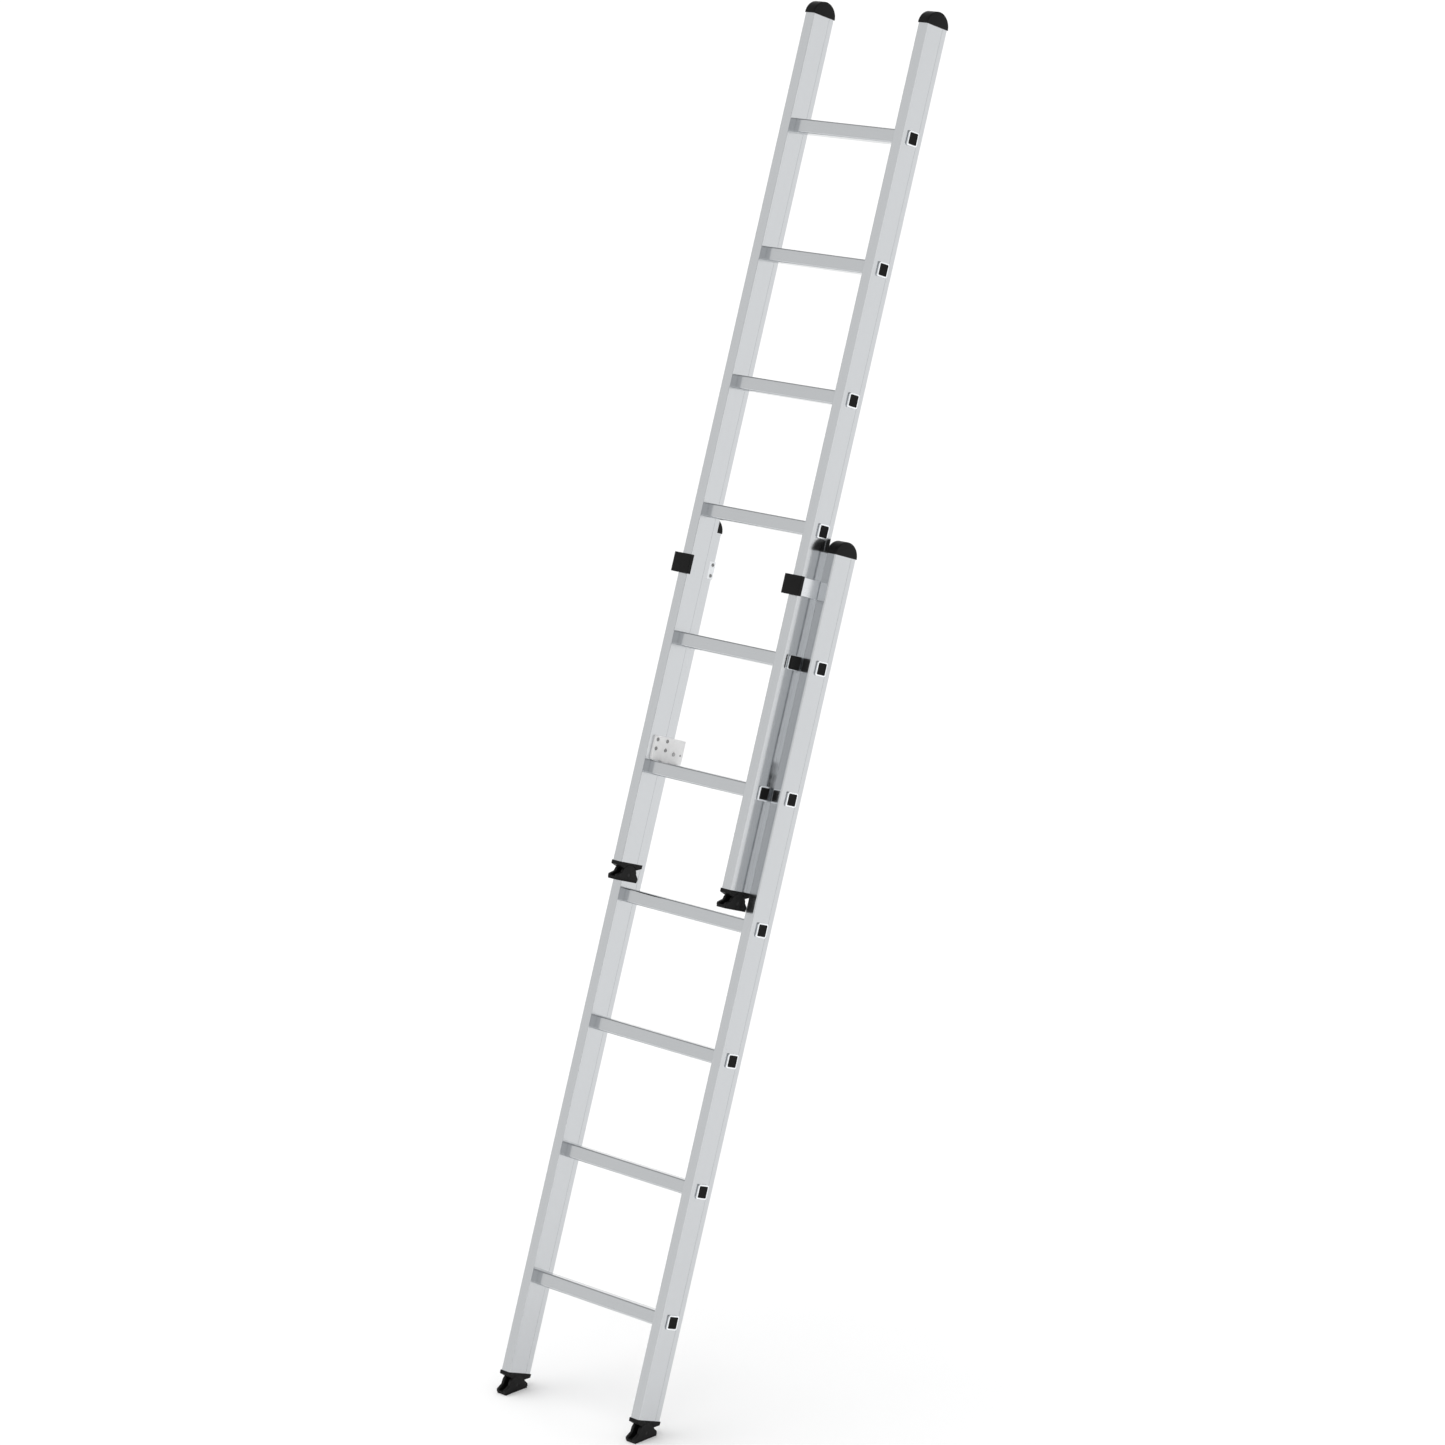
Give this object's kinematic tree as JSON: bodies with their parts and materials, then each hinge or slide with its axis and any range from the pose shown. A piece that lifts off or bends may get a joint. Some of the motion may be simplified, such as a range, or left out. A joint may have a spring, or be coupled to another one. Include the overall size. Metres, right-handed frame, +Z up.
{
  "type": "extension ladder",
  "caption": "Sliding aluminium extension ladder with square rungs, black end caps, swivelling ribbed feet, guide brackets and rung hooks, leaning at its working angle.",
  "frame": {"origin": "on the floor, midway between the pivots of the two lower feet", "axes": "+X to the right seen from the climber, +Y towards the wall that the ladder leans on, +Z up; the stiles lean back 20 degrees from +Z"},
  "size_m": [0.428, 1.0474, 2.878],
  "materials": {
    "stile_aluminium": "satin extruded aluminium",
    "rung_aluminium": "satin extruded aluminium",
    "black_plug": "moulded black plastic",
    "black_plastic": "moulded black plastic, lightly textured",
    "shoe_plastic": "moulded black plastic",
    "tread_rubber": "ribbed rubber",
    "strap_aluminium": "bent aluminium strip",
    "rivet_steel": "domed rivet heads",
    "zinc_steel": "pale plated steel",
    "keeper_steel": "plated steel",
    "pin_steel": "turned steel"
  },
  "bodies": {
    "lower_section": {"lower_stile_left": "stile_aluminium", "lower_stile_right": "stile_aluminium", "lower_rung_1": "rung_aluminium", "lower_rung_2": "rung_aluminium", "lower_rung_3": "rung_aluminium", "lower_rung_4": "rung_aluminium", "lower_rung_5": "rung_aluminium", "lower_rung_6": "rung_aluminium", "lower_rung_plugs": "black_plug", "lower_top_cap_left": "black_plastic", "lower_top_cap_right": "black_plastic", "lower_foot_socket_left": "black_plastic", "lower_foot_socket_right": "black_plastic", "lower_foot_pin_left": "pin_steel", "lower_foot_pin_right": "pin_steel", "guide_strap_left": "strap_aluminium", "guide_strap_right": "strap_aluminium", "guide_sleeve_left": "black_plastic", "guide_sleeve_right": "black_plastic", "guide_rivets": "rivet_steel"},
    "upper_section": {"upper_stile_left": "stile_aluminium", "upper_stile_right": "stile_aluminium", "upper_rung_1": "rung_aluminium", "upper_rung_2": "rung_aluminium", "upper_rung_3": "rung_aluminium", "upper_rung_4": "rung_aluminium", "upper_rung_5": "rung_aluminium", "upper_rung_6": "rung_aluminium", "upper_rung_plugs": "black_plug", "stop_plug_left": "black_plug", "stop_plug_right": "black_plug", "upper_top_cap_left": "black_plastic", "upper_top_cap_right": "black_plastic", "upper_foot_socket_left": "black_plastic", "upper_foot_socket_right": "black_plastic", "upper_foot_pin_left": "pin_steel", "upper_foot_pin_right": "pin_steel", "hook_plate_left": "zinc_steel", "hook_plate_right": "zinc_steel", "hook_rivets": "rivet_steel", "keeper_pin_left": "pin_steel", "keeper_pin_right": "pin_steel", "keeper_stop_left": "pin_steel", "keeper_stop_right": "pin_steel"},
    "lower_shoe_left": {"lower_shoe_left": "shoe_plastic", "lower_tread_left": "tread_rubber"},
    "lower_shoe_right": {"lower_shoe_right": "shoe_plastic", "lower_tread_right": "tread_rubber"},
    "upper_shoe_left": {"upper_shoe_left": "shoe_plastic", "upper_tread_left": "tread_rubber"},
    "upper_shoe_right": {"upper_shoe_right": "shoe_plastic", "upper_tread_right": "tread_rubber"},
    "keeper_left": {"keeper_left": "keeper_steel"},
    "keeper_right": {"keeper_right": "keeper_steel"}
  },
  "joints": [
    {"name": "section_slide", "type": "slide", "parent": "lower_section", "child": "upper_section", "axis": [0, 0.342, 0.9397], "range_m": [-1.12, 0]},
    {"name": "lower_shoe_left_pivot", "type": "hinge", "parent": "lower_section", "child": "lower_shoe_left", "pos_m": [-0.1975, 0, 0.014], "axis": [1, 0, 0], "range_deg": [-43, 3]},
    {"name": "lower_shoe_right_pivot", "type": "hinge", "parent": "lower_section", "child": "lower_shoe_right", "pos_m": [0.1975, 0, 0.014], "axis": [1, 0, 0], "range_deg": [-43, 3]},
    {"name": "upper_shoe_left_pivot", "type": "hinge", "parent": "upper_section", "child": "upper_shoe_left", "pos_m": [-0.1625, 0.33608, 1.08356], "axis": [1, 0, 0], "range_deg": [-23, 23]},
    {"name": "upper_shoe_right_pivot", "type": "hinge", "parent": "upper_section", "child": "upper_shoe_right", "pos_m": [0.1625, 0.33608, 1.08356], "axis": [1, 0, 0], "range_deg": [-23, 23]},
    {"name": "keeper_left_pivot", "type": "hinge", "parent": "upper_section", "child": "keeper_left", "pos_m": [-0.1523, 0.49282, 1.31596], "axis": [1, 0, 0], "range_deg": [0, 100]},
    {"name": "keeper_right_pivot", "type": "hinge", "parent": "upper_section", "child": "keeper_right", "pos_m": [0.1523, 0.49282, 1.31596], "axis": [1, 0, 0], "range_deg": [0, 100]}
  ]
}
